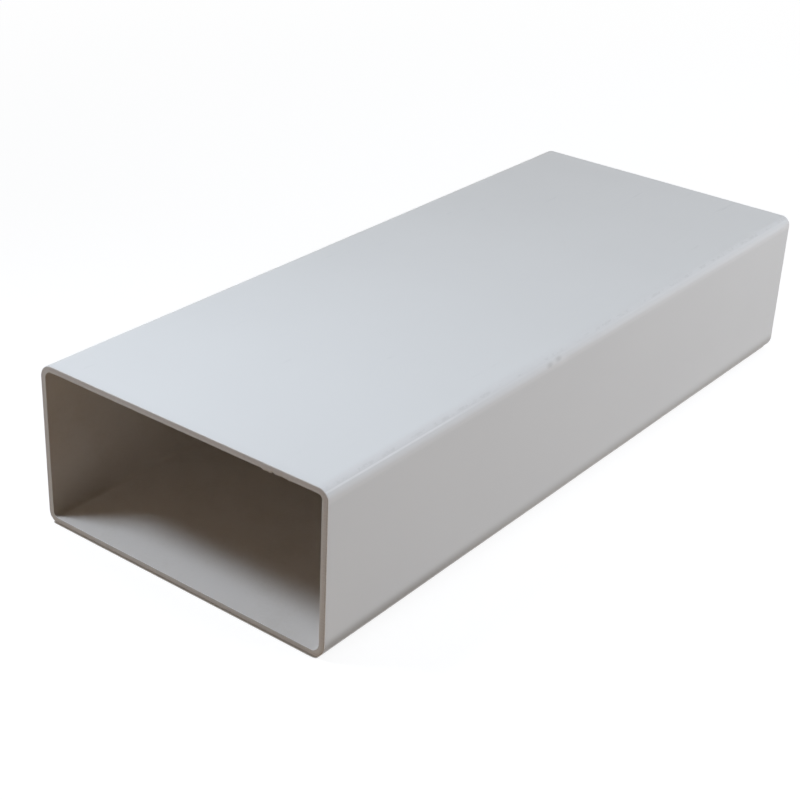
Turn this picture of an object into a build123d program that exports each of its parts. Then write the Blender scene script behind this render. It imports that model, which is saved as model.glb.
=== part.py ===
from build123d import *
import os

# Section of the duct in millimetres: outside sizes, wall, and the radius in the bore's corners
duct_width = 110.0
duct_height = 54.0
wall_thickness = 2.0
bore_corner_radius = 2.0

# Length between the two sawn ends, and the small chamfer that takes the burr off their edges
duct_length = 267.0
edge_break = 0.3

# The wall is even all the way round, so the outside corners are one wall rounder than the bore's
outer_corner_radius = bore_corner_radius + wall_thickness
bore_width = duct_width - 2 * wall_thickness
bore_height = duct_height - 2 * wall_thickness

# The chamfers of one rim leave at least a fifth of the wall flat between them
widest_break = 0.4 * wall_thickness
rim_chamfer = min(edge_break, widest_break)


def duct_section():
    """The closed ring of the extrusion, upright in the XZ plane with its underside on Z = 0."""
    outside = RectangleRounded(duct_width, duct_height, outer_corner_radius)
    bore = RectangleRounded(bore_width, bore_height, bore_corner_radius)
    centre_height = duct_height / 2
    return Plane.XZ * Pos(0, centre_height) * (outside - bore)


def rectangular_duct():
    """The section drawn out along Y, half to each side of the origin, with its cut edges broken."""
    duct = extrude(duct_section(), amount=duct_length / 2, both=True)
    rims = duct.faces().filter_by(Axis.Y)
    return chamfer(rims.edges(), rim_chamfer)


os.makedirs("parts", exist_ok=True)
export_step(rectangular_duct(), "parts/rectangular_duct.step")
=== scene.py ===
import math

import bmesh
import bpy
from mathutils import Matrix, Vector


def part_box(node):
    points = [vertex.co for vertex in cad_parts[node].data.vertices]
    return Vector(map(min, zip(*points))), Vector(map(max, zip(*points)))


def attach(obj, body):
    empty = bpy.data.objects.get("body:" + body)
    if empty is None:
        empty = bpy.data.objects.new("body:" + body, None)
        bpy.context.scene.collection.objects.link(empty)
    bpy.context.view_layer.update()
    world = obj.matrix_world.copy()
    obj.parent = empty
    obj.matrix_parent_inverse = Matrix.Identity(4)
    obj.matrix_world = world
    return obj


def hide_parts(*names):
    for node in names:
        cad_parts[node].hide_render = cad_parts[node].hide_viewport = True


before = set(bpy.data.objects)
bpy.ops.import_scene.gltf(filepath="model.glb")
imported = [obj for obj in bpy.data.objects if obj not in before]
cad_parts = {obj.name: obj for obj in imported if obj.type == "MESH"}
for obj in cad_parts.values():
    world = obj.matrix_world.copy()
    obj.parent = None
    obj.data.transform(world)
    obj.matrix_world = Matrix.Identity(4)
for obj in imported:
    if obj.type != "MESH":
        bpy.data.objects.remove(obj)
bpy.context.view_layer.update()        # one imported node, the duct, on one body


# What the duct is modelled to, in metres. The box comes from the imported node.
ductShape = {
    "node": "rectangular_duct",
    "body": "root",
    "slot": "white_pvc",
    "wall": 0.002,
    "corners": [                 # which side of the section, and the radius there
        {"right": -1, "up": 1, "radius": 0.0047},
        {"right": 1, "up": 1, "radius": 0.0034},
        {"right": -1, "up": -1, "radius": 0.0036},
        {"right": 1, "up": -1, "radius": 0.0049},
    ],
    "cornerMean": 0.0040,        # what the finishes take all four for
    "cornerSteps": 12,
    "broadColumns": 72,
    "narrowColumns": 32,
    "lengthRows": 66,
    "boreSlot": 1,               # where the bore's and the rims' finishes come after the skin's
    "rimSlot": 2,
    "sawAllowance": 0.00006,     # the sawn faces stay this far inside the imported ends
    "edgeBreak": 0.0003,         # of the outer sawn edges
    "boreBreak": 0.00012,        # the saw leaves the bore's edges sharper
    "edgeSteps": 3,
    "sinkDepth": 0.00014,        # how far the walls wander inwards after cooling
    "sinkSpan": 0.055,
    "sinkDetail": 1,
    "sinkLevel": 1.0,            # so that they only go inwards
    "arcProfile": 0.5,           # makes a bevel round
    "smoothAngle": 40,
}

# How the faces and edges to work on are told from the rest
picking = {
    "alongAxis": 0.999,          # an edge runs along an axis
    "facesEnd": 0.9,             # a face looks along the duct
    "facesSide": 0.1,            # or away from its middle line
    "outerShare": 0.49,          # of the duct's size: what lies further out is at its side
    "wholeShare": 0.8,           # of the duct's size: a longer edge crosses the whole wall
}

# The saw broke out of the near end's upper wall: each chip has its place across the duct, half its
# width, and how far it takes the edge back from the end and up (a burr hangs down, below zero)
sawChips = {
    "from": 0.0298,
    "to": 0.0438,
    "margin": 0.003,             # how far past them the wall is divided too
    "columns": 56,
    "depth": 0.006,
    "height": 0.0007,            # how far up the sawn face they reach
    "edgeReach": 0.0004,         # how far from the edge its broken corner lies
    "bore": [
        {"at": 0.03275, "half": 0.00065, "back": 0.00002, "up": -0.00030},
        {"at": 0.03390, "half": 0.00055, "back": 0.00006, "up": -0.00022},
        {"at": 0.03490, "half": 0.00045, "back": 0.00002, "up": -0.00028},
        {"at": 0.03580, "half": 0.00030, "back": 0.00012, "up": 0.00012},
        {"at": 0.03720, "half": 0.00080, "back": 0.00004, "up": -0.00014},
        {"at": 0.03890, "half": 0.00040, "back": 0.00008, "up": 0.00008},
        {"at": 0.04160, "half": 0.00055, "back": 0.00004, "up": -0.00016},
    ],
    "edgeJag": 0.00003,          # the whole of each sawn edge is this uneven
    "edgeEvenness": 0.3,
    "edgeSeed": 11,
}


def deselectAll():
    for thing in list(bpy.context.selected_objects):
        thing.select_set(False)
    bpy.context.view_layer.objects.active = None


def pick(piece, kind, test):
    # selects only the verts, edges or faces that pass the test
    bpy.ops.mesh.select_mode(type=kind)
    bpy.ops.mesh.select_all(action="DESELECT")
    mesh = bmesh.from_edit_mesh(piece.data)
    for item in {"VERT": mesh.verts, "EDGE": mesh.edges, "FACE": mesh.faces}[kind]:
        if test(item):
            item.select_set(True)
    mesh.select_flush_mode()
    bmesh.update_edit_mesh(piece.data)


def edgeRuns(edge, axis):
    # the edge lies along that axis, 0 to 2
    along = (edge.verts[1].co - edge.verts[0].co).normalized()
    return abs(along[axis]) > picking["alongAxis"]


def addModifier(piece, kind, **settings):
    bpy.ops.object.modifier_add(type=kind)
    modifier = piece.modifiers[-1]
    for name, value in settings.items():
        setattr(modifier, name, value)
    bpy.ops.object.modifier_apply(modifier=modifier.name)


def roundShell(middle, size):
    # a block of the duct's size, with both ends taken off and the long edges rounded
    deselectAll()
    bpy.ops.mesh.primitive_cube_add(size=1, location=middle)
    duct = bpy.context.object
    duct.name = "pvcDuct"
    duct.data.name = "pvcDuct"
    bpy.ops.transform.resize(value=size)
    bpy.ops.object.transform_apply(location=True, rotation=True, scale=True)
    bpy.ops.object.mode_set(mode="EDIT")
    pick(duct, "FACE", lambda face: abs(face.normal.y) > picking["facesEnd"])
    bpy.ops.mesh.delete(type="ONLY_FACE")

    for corner in ductShape["corners"]:
        def atCorner(edge):
            spot = edge.verts[0].co - middle
            outRight = spot.x * corner["right"] > size.x * picking["outerShare"]
            outUp = spot.z * corner["up"] > size.z * picking["outerShare"]
            return edgeRuns(edge, 1) and outRight and outUp

        pick(duct, "EDGE", atCorner)
        bpy.ops.mesh.bevel(offset=corner["radius"], offset_type="OFFSET",
                           segments=ductShape["cornerSteps"], profile=ductShape["arcProfile"])
    return duct


def divideShell(duct, size):
    # columns across the broad and narrow walls, then rows along the length
    broad = size.x * picking["wholeShare"]
    narrow = size.z * picking["wholeShare"]
    pick(duct, "EDGE", lambda edge: edgeRuns(edge, 0) and edge.calc_length() > broad)
    bpy.ops.mesh.subdivide(number_cuts=ductShape["broadColumns"] - 1)
    pick(duct, "EDGE", lambda edge: edgeRuns(edge, 2) and edge.calc_length() > narrow)
    bpy.ops.mesh.subdivide(number_cuts=ductShape["narrowColumns"] - 1)
    pick(duct, "EDGE", lambda edge: edgeRuns(edge, 1))
    bpy.ops.mesh.subdivide(number_cuts=ductShape["lengthRows"] - 1)
    bpy.ops.object.mode_set(mode="OBJECT")
    print("duct shell rounded and divided:", len(duct.data.polygons), "faces")


def wallShell(duct):
    # the walls wander inwards a little, as an extrusion does when it cools
    sink = bpy.data.textures.new("coolingSink", "CLOUDS")
    sink.noise_scale = ductShape["sinkSpan"]
    sink.noise_depth = ductShape["sinkDetail"]
    addModifier(duct, "DISPLACE", texture=sink, texture_coords="LOCAL",
                mid_level=ductShape["sinkLevel"], strength=ductShape["sinkDepth"])

    # the wall's thickness, with the bore and the sawn rims in slots of their own
    for finish in (skinFinish(), boreFinish(), sawnFinish()):
        duct.data.materials.append(finish)
    addModifier(duct, "SOLIDIFY", thickness=ductShape["wall"], offset=-1, use_even_offset=True,
                use_quality_normals=True, material_offset=ductShape["boreSlot"],
                material_offset_rim=ductShape["rimSlot"])


def breakSawnEdges(duct, middle):
    # the four sawn edge loops
    def cutEdge(edge, outer):
        turns = sorted(abs(face.normal.y) for face in edge.link_faces)
        if len(turns) != 2 or turns[0] > picking["facesSide"] or turns[1] < picking["facesEnd"]:
            return False
        # a bore loop's wall looks at the middle of the duct, an outer loop's away from it
        wall = min(edge.link_faces, key=lambda face: abs(face.normal.y))
        away = wall.calc_center_median() - middle
        return (away.x * wall.normal.x + away.z * wall.normal.z > 0) == outer

    for outer, reach in ((True, ductShape["edgeBreak"]), (False, ductShape["boreBreak"])):
        pick(duct, "EDGE", lambda edge: cutEdge(edge, outer))
        bpy.ops.mesh.bevel(offset=reach, offset_type="OFFSET", segments=ductShape["edgeSteps"],
                           profile=ductShape["arcProfile"], material=ductShape["rimSlot"])


def chipRim(duct, high, halfLength):
    nearEnd = -halfLength
    boreTop = high.z - ductShape["wall"]
    edgeReach = sawChips["edgeReach"]
    chipsFrom = sawChips["from"] - sawChips["margin"]
    chipsTo = sawChips["to"] + sawChips["margin"]
    chipsWidth = sawChips["to"] - sawChips["from"]

    def nearChips(face):
        spot = face.calc_center_median()
        nearTheEnd = spot.y < nearEnd + sawChips["depth"]
        return chipsFrom < spot.x < chipsTo and nearTheEnd and spot.z > boreTop - edgeReach

    # fine columns where the upper edge is chipped
    for step in range(sawChips["columns"] + 1):
        across = sawChips["from"] + chipsWidth * step / sawChips["columns"]
        pick(duct, "FACE", nearChips)
        bpy.ops.mesh.bisect(plane_co=(across, 0, 0), plane_no=(1, 0, 0))
    pick(duct, "FACE", nearChips)
    bpy.ops.mesh.bisect(plane_co=(0, 0, boreTop + sawChips["height"]), plane_no=(0, 0, 1))

    for chip in sawChips["bore"]:
        pick(duct, "VERT", lambda vert: vert.co.y < nearEnd + edgeReach
             and abs(vert.co.x - chip["at"]) < chip["half"]
             and abs(vert.co.z - boreTop) < edgeReach)
        bpy.ops.transform.translate(value=(0, chip["back"], chip["up"]))

    # every sawn edge is left slightly uneven
    pick(duct, "VERT", lambda vert: abs(vert.co.y) > halfLength - edgeReach)
    bpy.ops.transform.vertex_random(offset=sawChips["edgeJag"], uniform=sawChips["edgeEvenness"],
                                    normal=0, seed=sawChips["edgeSeed"])


def modelDuct():
    low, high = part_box(ductShape["node"])
    middle = (low + high) / 2
    halfLength = (high.y - low.y) / 2 - ductShape["sawAllowance"]
    size = Vector((high.x - low.x, 2 * halfLength, high.z - low.z))

    duct = roundShell(middle, size)
    divideShell(duct, size)
    wallShell(duct)
    bpy.ops.object.mode_set(mode="EDIT")
    breakSawnEdges(duct, middle)
    chipRim(duct, high, halfLength)
    bpy.ops.object.mode_set(mode="OBJECT")
    bpy.ops.object.shade_smooth_by_angle(angle=math.radians(ductShape["smoothAngle"]))
    addModifier(duct, "WEIGHTED_NORMAL", keep_sharp=True)
    print("duct walled and sawn:", len(duct.data.polygons), "faces")

    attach(duct, ductShape["body"])
    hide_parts(ductShape["node"])


class Feed:
    # an output socket that can be reckoned with: each sum adds a Math node to its tree
    def __init__(self, tree, socket=None):
        self.tree = tree
        self.socket = socket

    def node(self, kind, settings=None, sockets=None, out=0):
        added = self.tree.nodes.new(kind)
        for name, value in (settings or {}).items():
            setattr(added, name, value)
        for name, value in (sockets or {}).items():
            if isinstance(value, Feed):
                self.tree.links.new(value.socket, added.inputs[name])
            else:
                added.inputs[name].default_value = value
        return Feed(self.tree, added.outputs[out])

    def beside(self, out):
        # another output of the same node
        return Feed(self.tree, self.socket.node.outputs[out])

    def reckon(self, operation, first, second=0.0):
        return self.node("ShaderNodeMath", {"operation": operation}, {0: first, 1: second})

    def __add__(self, other):
        return self.reckon("ADD", self, other)

    def __radd__(self, other):
        return self.reckon("ADD", other, self)

    def __sub__(self, other):
        return self.reckon("SUBTRACT", self, other)

    def __rsub__(self, other):
        return self.reckon("SUBTRACT", other, self)

    def __mul__(self, other):
        return self.reckon("MULTIPLY", self, other)

    def __rmul__(self, other):
        return self.reckon("MULTIPLY", other, self)


def newFinish(name):
    material = bpy.data.materials.new(name)
    material.use_nodes = True
    material.node_tree.nodes.clear()
    return material, Feed(material.node_tree)


def closeFinish(feed, shader):
    end = feed.tree.nodes.new("ShaderNodeOutputMaterial")
    feed.tree.links.new(shader.socket, end.inputs["Surface"])


def closePlastic(feed, look, colour, roughness, relief):
    # what every finish of the duct ends with
    bump = feed.node("ShaderNodeBump", {}, {
        "Strength": look["bumpStrength"], "Distance": look["bumpDepth"], "Height": relief}, out="Normal")
    shader = feed.node("ShaderNodeBsdfPrincipled", {}, {
        "Base Color": colour, "Roughness": roughness, "Normal": bump, "IOR": look["ior"],
        "Specular IOR Level": look["shine"]})
    closeFinish(feed, shader)


def noise(feed, place, scale, detail=2, roughness=0.5, stretch=None):
    if stretch:
        place = feed.node("ShaderNodeMapping", {}, {"Vector": place, "Scale": stretch})
    return feed.node("ShaderNodeTexNoise", {}, {
        "Vector": place, "Scale": scale, "Detail": detail, "Roughness": roughness})


def sway(value, noiseMean=0.5):
    # a noise about its mean
    return value - noiseMean


def uneven(least, value):
    # from least up to 1, as the value goes from 0 to 1
    return least + (1 - least) * value


def ease(feed, value, low, high):
    # 0 below low, 1 above high and smooth between; high may be under low
    return feed.node("ShaderNodeMapRange", {"interpolation_type": "SMOOTHSTEP"}, {
        "Value": value, "From Min": low, "From Max": high})


def blend(feed, factor, first, second):
    return feed.node("ShaderNodeMix", {"data_type": "RGBA"},
                     {"Factor": factor, "A": first, "B": second}, out="Result")


def specks(feed, place, scale, size, share, core=0.4, sure=0.9):
    # round spots: one to a cell, of which only a share is kept
    cell = feed.node("ShaderNodeTexVoronoi", {}, {"Vector": place, "Scale": scale}, out="Distance")
    draw = feed.node("ShaderNodeSeparateColor", {}, {"Color": cell.beside("Color")})
    return ease(feed, cell, size, size * core) * ease(feed, draw, share, share * sure)


def parts(feed, place):
    # the three coordinates of a place
    split = feed.node("ShaderNodeSeparateXYZ", {}, {"Vector": place})
    return [split.beside(axis) for axis in "XYZ"]


def apartFrom(feed, value, middle):
    return feed.reckon("ABSOLUTE", value - middle)


def band(feed, value, middle, half, core=0.3):
    # 1 about the middle and 0 beyond half to either side
    return ease(feed, apartFrom(feed, value, middle), half, half * core)


def nearTo(feed, place, spot, reach, stretch):
    # 1 at the spot and 0 beyond its reach
    away = feed.node("ShaderNodeVectorMath", {"operation": "SUBTRACT"}, {0: place, 1: spot})
    away = feed.node("ShaderNodeVectorMath", {"operation": "MULTIPLY"}, {0: away, 1: stretch})
    apart = feed.node("ShaderNodeVectorMath", {"operation": "LENGTH"}, {0: away}, out="Value")
    return ease(feed, apart, reach, 0.0)


def inSection(feed, place):
    # how far round its corner a point lies (radians: 0 at the broad wall, past a quarter turn on
    # the narrow one), and how deep it lies in the wall
    across, height = parts(feed, place)[::2]
    low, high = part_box(ductShape["node"])
    middle = (low + high) / 2
    radius = ductShape["cornerMean"]
    over = apartFrom(feed, across, middle.x) - (high.x - middle.x - radius)
    up = apartFrom(feed, height, middle.z) - (high.z - middle.z - radius)
    turn = feed.reckon("ARCTAN2", over, up)
    overOut = feed.reckon("MAXIMUM", over)
    upOut = feed.reckon("MAXIMUM", up)
    outward = feed.reckon("SQRT", overOut * overOut + upOut * upOut)
    inward = feed.reckon("MINIMUM", feed.reckon("MAXIMUM", over, up))
    return turn, radius - outward - inward


skin = {
    "colour": (0.775, 0.768, 0.752, 1),
    "cloudy": (0.748, 0.741, 0.725, 1),
    "rubbed": (0.700, 0.694, 0.682, 1),
    "grimeAndShade": (0.56, 0.545, 0.52, 1),
    "roughness": 0.35,
    "lineRoughness": 0.10,       # how far the die lines and the clouds change it
    "cloudRoughness": 0.08,
    "rubbedRoughness": 0.16,     # added where the skin is rubbed
    "ior": 1.53,
    "shine": 0.5,
    "dieLines": {"scale": 900, "detail": 3, "roughness": 0.6, "stretch": (1, 0.012, 1)},
    "fineLines": {"scale": 2600, "roughness": 0.6, "stretch": (1, 0.012, 1)},
    "clouds": {"scale": 22, "detail": 3},
    "orangePeel": {"scale": 420},
    "patches": {"scale": 37.4},  # where the scuffs gather
    "patchFrom": 0.50,
    "patchTo": 0.66,
    "scuffs": {"scale": 440, "detail": 4, "roughness": 0.65, "stretch": (1.0, 0.10, 1.0)},
    "scuffFrom": 0.63,
    "scuffTo": 0.72,
    "speckCells": 70,
    "speckSize": 0.022,
    "speckShare": 0.10,
    "endGrime": 0.0035,          # how far in the sawn ends are handled
    "endLeast": 0.35,
    "cornerShade": (0.70, 0.66, 0.64, 1),       # painted shade: the long corners are darkened grey towards the broad wall
    "cornerShadeTurn": 0.45,
    "cornerShadeHalf": 0.55,
    "cornerShadeNear": -0.100,                  # most so up to here from the near end
    "cornerShadeFar": -0.010,
    "cornerShadeRest": 0.30,                    # what is left of it beyond
    "crestHighlight": (0.95, 0.94, 0.925, 1),     # then a painted highlight in a thin line along the corner
    "crestHighlightTurn": 0.80,
    "crestHighlightHalf": 0.10,
    "crestHighlightNear": -0.095,
    "crestHighlightFar": -0.055,
    "crestHighlightRest": 0.20,
    "crestHighlightLeast": 0.6,                   # the dashes' noise breaks the line up
    "crestHighlightGain": 0.8,
    "paleLightTurn": 1.30,                    # and painted light, paler towards the narrow wall
    "paleLightHalf": 0.50,
    "dashes": {"scale": 420, "detail": 3, "roughness": 0.6, "stretch": (1.0, 0.75, 1.0)},
    "dashTurn": 0.55,
    "dashHalf": 0.17,
    "dashFrom": 0.48,
    "dashTo": 0.62,
    "smudges": [                         # on the upper right corner
        (0.0546, -0.0290, 0.0519),
        (0.0544, -0.0240, 0.0522),
    ],
    "smudgeReach": 0.0013,
    "scrapeAt": (0.0549, -0.0220, 0.0509),
    "scrapeReach": 0.0025,
    "alongMarks": (1.0, 0.5, 1.0),       # they are longer along the duct
    "floorShadeTop": 0.0085,                   # painted shade near the floor reaches this far up the narrow walls
    "floorShadeLeast": 0.5,
    "footShade": (0.205, 0.175, 0.145, 1),    # and painted contact shade darkens the lower corners
    "footShadeTop": 0.0072,
    "footShadeFull": 0.0022,
    "footShadeNear": -0.090,                  # most so up to here from the near end
    "footShadeFar": -0.030,
    "footShadeRest": 0.62,
    "bumpDepth": 0.00005,
    "bumpStrength": 0.10,
}

# How much of each mark, and of each painted light or shade, shows in the skin's colour, and how far each
# pattern stands out of it
skinShows = {
    "cornerShade": 0.32,
    "paleLight": 0.32,
    "scrape": 0.20,
    "dustAndShade": 0.9,
    "footShade": 0.95,
    "dashes": 0.30,
    "crestHighlight": 0.62,
    "scuffs": 0.45,
    "handled": 0.30,
    "dirt": 0.55,
    "smudge": 0.60,
}
skinRelief = {"dieLines": 0.45, "fineLines": 0.2, "peel": 0.5, "scuffs": 0.25}


def skinFinish():
    material, feed = newFinish("extrudedSkin")
    place = feed.node("ShaderNodeTexCoord", out="Object")
    along, height = parts(feed, place)[1:]
    turn = inSection(feed, place)[0]
    dieLines = noise(feed, place, **skin["dieLines"])
    fineLines = noise(feed, place, **skin["fineLines"])
    clouds = noise(feed, place, **skin["clouds"])
    peel = noise(feed, place, **skin["orangePeel"])

    # long faint scuffs, gathered in patches, and a few specks of dirt
    patches = ease(feed, noise(feed, place, **skin["patches"]), skin["patchFrom"], skin["patchTo"])
    strokes = noise(feed, place, **skin["scuffs"])
    scuffs = ease(feed, strokes, skin["scuffFrom"], skin["scuffTo"]) * patches
    dirt = specks(feed, place, skin["speckCells"], skin["speckSize"], skin["speckShare"])

    # the sawn ends are handled most
    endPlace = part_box(ductShape["node"])[1].y
    fromMiddle = apartFrom(feed, along, 0.0)
    handled = ease(feed, fromMiddle, endPlace - skin["endGrime"], endPlace)
    handled = handled * uneven(skin["endLeast"], peel)

    # each long corner gets painted shade, a thin painted highlight on its crest, painted light towards
    # the narrow wall, and grey dashes above the crest
    def towardsNear(kind):
        return uneven(skin[kind + "Rest"], ease(feed, along, skin[kind + "Far"], skin[kind + "Near"]))

    def roundCorner(kind):
        return band(feed, turn, skin[kind + "Turn"], skin[kind + "Half"])

    dashMarks = noise(feed, place, **skin["dashes"])
    cornerShade = roundCorner("cornerShade") * towardsNear("cornerShade")
    crestHighlight = roundCorner("crestHighlight") * towardsNear("crestHighlight")
    crestHighlight = crestHighlight * (skin["crestHighlightLeast"] + skin["crestHighlightGain"] * dashMarks)
    paleLight = roundCorner("paleLight")
    dashes = roundCorner("dash") * ease(feed, dashMarks, skin["dashFrom"], skin["dashTo"])

    # painted shade low down near the floor, and darker painted contact shade on the lower corners
    dustAndShade = ease(feed, height, skin["floorShadeTop"], 0.0) * uneven(skin["floorShadeLeast"], clouds)
    footShade = ease(feed, height, skin["footShadeTop"], skin["footShadeFull"]) * towardsNear("footShade")

    # two grey marks on the upper right corner, and a pale scrape by them
    smudge = sum(nearTo(feed, place, spot, skin["smudgeReach"], skin["alongMarks"])
                 for spot in skin["smudges"])
    scrape = nearTo(feed, place, skin["scrapeAt"], skin["scrapeReach"], skin["alongMarks"])

    shows = skinShows
    colour = blend(feed, clouds, skin["colour"], skin["cloudy"])
    # painted shade, painted light and a painted highlight are blended in among the real marks below
    colour = blend(feed, cornerShade * shows["cornerShade"], colour, skin["cornerShade"])
    colour = blend(feed, paleLight * shows["paleLight"] + scrape * shows["scrape"], colour, skin["crestHighlight"])
    colour = blend(feed, dustAndShade * shows["dustAndShade"], colour, skin["grimeAndShade"])
    colour = blend(feed, footShade * shows["footShade"], colour, skin["footShade"])
    colour = blend(feed, dashes * shows["dashes"], colour, skin["grimeAndShade"])
    colour = blend(feed, crestHighlight * shows["crestHighlight"], colour, skin["crestHighlight"])
    colour = blend(feed, scuffs * shows["scuffs"], colour, skin["rubbed"])
    colour = blend(feed, handled * shows["handled"], colour, skin["rubbed"])
    colour = blend(feed, dirt * shows["dirt"] + smudge * shows["smudge"], colour, skin["grimeAndShade"])
    roughness = skin["roughness"] + sway(dieLines) * skin["lineRoughness"]
    roughness = roughness + sway(clouds) * skin["cloudRoughness"] + scuffs * skin["rubbedRoughness"]
    relief = dieLines * skinRelief["dieLines"] + fineLines * skinRelief["fineLines"]
    relief = relief + peel * skinRelief["peel"] - scuffs * skinRelief["scuffs"]
    closePlastic(feed, skin, colour, roughness, relief)
    return material


bore = {
    "colour": (0.84, 0.805, 0.765, 1),
    "dusty": (0.75, 0.71, 0.655, 1),
    "roughness": 0.50,
    "lineRoughness": 0.12,
    "dustRoughness": 0.15,
    "ior": 1.53,
    "shine": 0.25,
    "dieLines": {"scale": 520, "detail": 3, "roughness": 0.6, "stretch": (1, 0.015, 1)},
    "dustAndShade": {"scale": 38, "detail": 4, "roughness": 0.6},
    "dustGrain": {"scale": 900},
    "grainInDust": 0.25,
    "dustFrom": 0.45,
    "dustTo": 0.75,
    "dustShows": 0.5,
    "wallFootShade": (0.47, 0.425, 0.365, 1),     # painted shade at the foot of the narrow walls
    "wallFootShadeTop": 0.022,
    "wallFootShadeLow": 0.001,
    "wallFootShadeIn": 0.050,         # how far in from the ends
    "wallFootShadeFrom": 0.002,       # how far off the wall it starts, and where it is full
    "wallFootShadeTo": 0.0003,
    "wallFootShadeShows": 0.75,
    "wallFootShadeUneven": 0.5,
    "lineRelief": 0.7,
    "grainRelief": 0.3,
    "bumpDepth": 0.00008,
    "bumpStrength": 0.18,
}


def boreFinish():
    material, feed = newFinish("dullBore")
    place = feed.node("ShaderNodeTexCoord", out="Object")
    across, along, height = parts(feed, place)
    dieLines = noise(feed, place, **bore["dieLines"])
    dustAndShade = noise(feed, place, **bore["dustAndShade"])
    grain = noise(feed, place, **bore["dustGrain"])
    settled = ease(feed, dustAndShade + sway(grain) * bore["grainInDust"], bore["dustFrom"], bore["dustTo"])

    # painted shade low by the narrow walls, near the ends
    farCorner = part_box(ductShape["node"])[1]
    wallPlace = farCorner.x - ductShape["wall"]
    onWall = ease(feed, apartFrom(feed, across, 0.0),
                  wallPlace - bore["wallFootShadeFrom"], wallPlace - bore["wallFootShadeTo"])
    byEnd = ease(feed, apartFrom(feed, along, 0.0), farCorner.y - bore["wallFootShadeIn"], farCorner.y)
    wallFootShade = ease(feed, height, bore["wallFootShadeTop"], bore["wallFootShadeLow"]) * onWall * byEnd
    wallFootShade = wallFootShade * (bore["wallFootShadeShows"] + bore["wallFootShadeUneven"] * sway(dustAndShade))

    colour = blend(feed, settled * bore["dustShows"], bore["colour"], bore["dusty"])
    colour = blend(feed, wallFootShade, colour, bore["wallFootShade"])
    roughness = bore["roughness"] + sway(dieLines) * bore["lineRoughness"]
    roughness = roughness + settled * bore["dustRoughness"]
    relief = dieLines * bore["lineRelief"] + grain * bore["grainRelief"]
    closePlastic(feed, bore, colour, roughness, relief)
    return material


sawn = {
    "colour": (0.90, 0.865, 0.835, 1),
    "scored": (0.77, 0.73, 0.70, 1),
    "scoredFrom": 0.62,
    "scoredTo": 0.38,
    "scoredShows": 0.6,
    "lipHighlight": (0.93, 0.915, 0.89, 1),       # painted highlight along the bore's edge
    "lipHighlightFrom": 0.0010,
    "lipHighlightTo": 0.0016,
    "lipHighlightShows": 0.8,
    "lowEdgeShade": (0.30, 0.285, 0.26, 1),   # painted shade on the lowest edge, by the floor
    "lowEdgeShadeTop": 0.0009,
    "lowEdgeShadeShows": 0.85,
    "roughness": 0.70,
    "grainRoughness": 0.2,
    "ior": 1.5,
    "shine": 0.5,
    "bladeCentre": (0.05, 0, 0.42),      # the saw came down from above, its teeth cutting arcs
    "toothMarks": {"Scale": 2900, "Detail": 3, "Roughness": 0.6},
    "toothShare": 0.65,
    "grain": {"scale": 1500, "detail": 3, "roughness": 0.6},
    "grainShare": 0.35,
    "bumpDepth": 0.00012,
    "bumpStrength": 0.45,
}


def sawnFinish():
    material, feed = newFinish("sawnRim")
    place = feed.node("ShaderNodeTexCoord", out="Object")
    height = parts(feed, place)[2]
    deep = inSection(feed, place)[1]
    grain = noise(feed, place, **sawn["grain"])
    fromBlade = feed.node("ShaderNodeVectorMath", {"operation": "DISTANCE"},
                          {0: place, 1: sawn["bladeCentre"]}, out="Value")
    toothMarks = feed.node("ShaderNodeTexNoise", {"noise_dimensions": "1D"},
                           {"W": fromBlade, **sawn["toothMarks"]})
    marks = toothMarks * sawn["toothShare"] + grain * sawn["grainShare"]
    scored = ease(feed, marks, sawn["scoredFrom"], sawn["scoredTo"])
    # a painted highlight along the bore's edge, and painted shade on the lowest edge
    lipHighlight = ease(feed, deep, sawn["lipHighlightFrom"], sawn["lipHighlightTo"])
    lowEdgeShade = ease(feed, height, sawn["lowEdgeShadeTop"], 0.0)

    colour = blend(feed, scored * sawn["scoredShows"], sawn["colour"], sawn["scored"])
    colour = blend(feed, lipHighlight * sawn["lipHighlightShows"], colour, sawn["lipHighlight"])
    colour = blend(feed, lowEdgeShade * sawn["lowEdgeShadeShows"], colour, sawn["lowEdgeShade"])
    roughness = sawn["roughness"] + sway(grain) * sawn["grainRoughness"]
    closePlastic(feed, sawn, colour, roughness, marks)
    return material


floorLook = {
    "size": 8.0,
    "level": -0.00005,
    "bounce": (0.34, 0.24, 0.15, 1),     # the warm light that comes back off it
    "seen": (0.26, 0.26, 0.26, 1),
    "white": (1, 1, 1, 1),
    "glow": 0.86,
    "plainGlow": 1.0,
    "contactShadow": (0.16, 0.14, 0.12, 1),    # painted contact shadow: the dark line where the duct touches
    "contactShadowGlow": 1.0,
    "contactReach": 0.0007,
    "contactSamples": 8,
    "contactFrom": 1.0,                  # how open the floor is where the line starts and is full
    "contactTo": 0.55,
    "poolFrom": 0.30,                    # the shadowed part fades to plain white from here
    "poolTo": 0.75,
}


def shownRays(feed):
    # rays that see the plain white ground: from the camera, off gloss and through clear things
    rays = feed.node("ShaderNodeLightPath", out="Is Camera Ray")
    return rays + rays.beside("Is Glossy Ray") + rays.beside("Is Transmission Ray")


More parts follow.
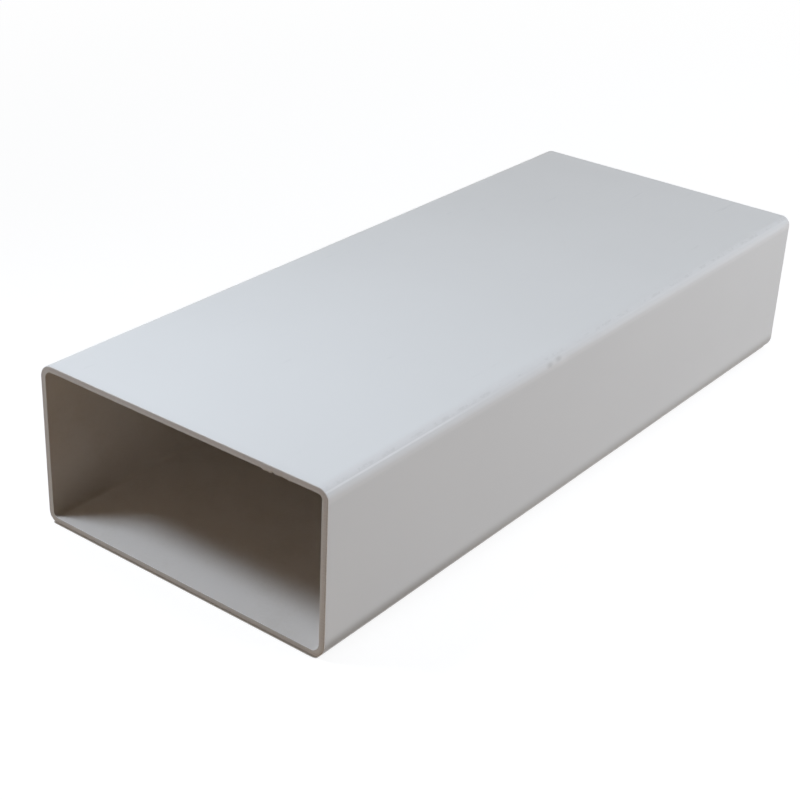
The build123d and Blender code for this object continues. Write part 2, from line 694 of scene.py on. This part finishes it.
def layFloor():
    deselectAll()
    bpy.ops.mesh.primitive_plane_add(size=floorLook["size"], location=(0, 0, floorLook["level"]))
    floor = bpy.context.object
    floor.name = "studioFloor"
    bpy.ops.object.transform_apply(location=True, rotation=True, scale=True)
    material, feed = newFinish("paleFloor")

    def glowing(colour, strength):
        return feed.node("ShaderNodeEmission", {}, {"Color": colour, "Strength": strength})

    def mixed(factor, first, second):
        return feed.node("ShaderNodeMixShader", {}, {0: factor, 1: first, 2: second})

    # white that takes the duct's shadow, then a painted contact shadow line
    lit = feed.node("ShaderNodeBsdfDiffuse", {}, {"Color": floorLook["seen"]})
    glow = glowing(floorLook["white"], floorLook["glow"])
    shadowed = feed.node("ShaderNodeAddShader", {}, {0: lit, 1: glow})
    openness = feed.node("ShaderNodeAmbientOcclusion", {"samples": floorLook["contactSamples"]},
                         {"Distance": floorLook["contactReach"]}, out="AO")
    contactShadowMask = ease(feed, openness, floorLook["contactFrom"], floorLook["contactTo"])
    shadowed = mixed(contactShadowMask, shadowed, glowing(floorLook["contactShadow"], floorLook["contactShadowGlow"]))

    # plain white further out, and warm to the light that bounces
    place = feed.node("ShaderNodeTexCoord", out="Object")
    away = feed.node("ShaderNodeVectorMath", {"operation": "LENGTH"}, {0: place}, out="Value")
    pool = ease(feed, away, floorLook["poolFrom"], floorLook["poolTo"])
    seen = mixed(pool, shadowed, glowing(floorLook["white"], floorLook["plainGlow"]))
    bounce = feed.node("ShaderNodeBsdfDiffuse", {}, {"Color": floorLook["bounce"]})
    closeFinish(feed, mixed(shownRays(feed), bounce, seen))
    floor.data.materials.append(material)
    print("floor laid")


studioWorld = {
    "ambient": (0.090, 0.065, 0.045, 1),     # the warm room
    "seen": (1, 1, 1, 1),
    "strength": 1.0,
}


def lightWorld():
    world = bpy.data.worlds.new("studioWorld")
    bpy.context.scene.world = world
    world.use_nodes = True
    world.node_tree.nodes.clear()
    feed = Feed(world.node_tree)
    colour = blend(feed, shownRays(feed), studioWorld["ambient"], studioWorld["seen"])
    sky = feed.node("ShaderNodeBackground", {}, {"Color": colour, "Strength": studioWorld["strength"]})
    end = world.node_tree.nodes.new("ShaderNodeOutputWorld")
    world.node_tree.links.new(sky.socket, end.inputs["Surface"])
    print("room lit")


# The fills at the sides and the back are kept out of the gloss, so that they show no bright squares
studioLamps = [
    {"name": "keySoftbox", "place": (-0.290, -0.290, 0.567), "aim": (-0.01, -0.150, 0.03),
     "size": 0.15, "spread": 51, "watts": 0.161, "colour": (0.88, 0.99, 1.13), "shines": True},
    {"name": "overhead", "place": (0, 0.25, 1.1), "aim": (0, 0, 0.027),
     "size": 0.6, "spread": 180, "watts": 1.40, "colour": (0.79, 1.0, 1.21), "shines": True},
    {"name": "rightSoftbox", "place": (0.72, 0.42, 0.50), "aim": (0, 0, 0.027),
     "size": 1.0, "spread": 180, "watts": 6.7, "colour": (0.91, 0.99, 1.10), "shines": False},
    {"name": "leftSoftbox", "place": (-1.15, 0, 0.56), "aim": (0, 0, 0.027),
     "size": 1.2, "spread": 180, "watts": 3.6, "colour": (0.94, 1.0, 1.06), "shines": False},
    {"name": "backSoftbox", "place": (0, 1.15, 0.42), "aim": (0, 0, 0.027),
     "size": 0.9, "spread": 180, "watts": 0.7, "colour": (1.06, 1.0, 0.94), "shines": False},
]


def hangLamps():
    for lamp in studioLamps:
        bpy.ops.object.light_add(type="AREA", location=lamp["place"])
        light = bpy.context.object
        light.name = lamp["name"]
        light.data.shape = "SQUARE"
        light.data.size = lamp["size"]
        light.data.spread = math.radians(lamp["spread"])
        light.data.energy = lamp["watts"]
        light.data.color = lamp["colour"]
        light.visible_glossy = lamp["shines"]
        toAim = Vector(lamp["aim"]) - Vector(lamp["place"])
        light.rotation_euler = toAim.to_track_quat("-Z", "Y").to_euler()
    print("lamps hung:", len(studioLamps))


photoCamera = {
    "place": (0.28487, -0.41424, 0.27074),
    "turn": (62.3955, -2.4659, 37.8760),     # degrees about X, Y and Z
    "lens": 74.03,
    "sensor": 36.0,
    "clipStart": 0.01,
}


def setCamera():
    turn = [math.radians(angle) for angle in photoCamera["turn"]]
    bpy.ops.object.camera_add(location=photoCamera["place"], rotation=turn)
    camera = bpy.context.object
    camera.name = "photoCamera"
    camera.data.sensor_width = photoCamera["sensor"]
    camera.data.lens = photoCamera["lens"]
    camera.data.clip_start = photoCamera["clipStart"]
    bpy.context.scene.camera = camera
    print("camera set")


bpy.context.scene.view_settings.view_transform = "Standard"
modelDuct()
layFloor()
lightWorld()
hangLamps()
setCamera()
